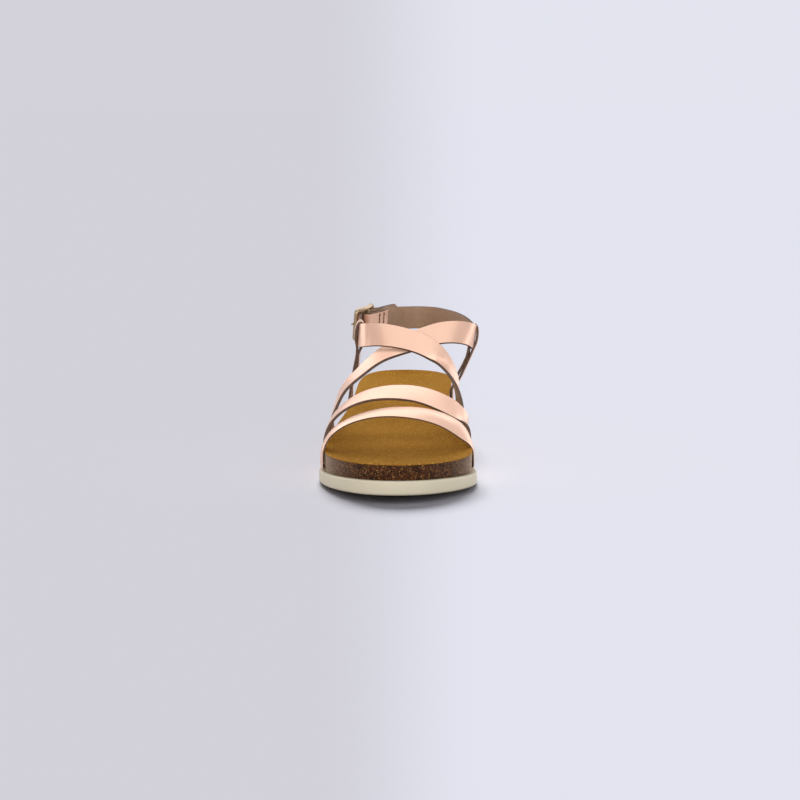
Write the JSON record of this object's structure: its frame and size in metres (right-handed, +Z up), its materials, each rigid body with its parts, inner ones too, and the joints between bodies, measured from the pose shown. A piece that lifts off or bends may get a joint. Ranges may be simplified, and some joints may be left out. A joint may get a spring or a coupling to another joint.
{
  "type": "leather sandal",
  "caption": "Open right-foot sandal: crossed metallic leather straps with a buckled ankle strap on a suede-lined cork footbed and a flat pale outsole.",
  "frame": {"origin": "on the floor, under the middle of the sandal's bounding box", "axes": "+Z up, -Y towards the toe, +Y towards the heel, +X towards the inner side of the foot"},
  "size_m": [0.0961, 0.25, 0.0915],
  "materials": {
    "cream_sole": "matt",
    "cork": "matt",
    "mustard_suede": "matt",
    "rose_leather": "satin",
    "gilt": "polished"
  },
  "bodies": {
    "root": {"outsole": "cream_sole", "cork_midsole": "cork", "insole": "mustard_suede", "upper": "rose_leather", "stay_lateral": "rose_leather", "stay_medial": "rose_leather", "buckle_frame": "gilt", "buckle_prong": "gilt"}
  },
  "joints": []
}
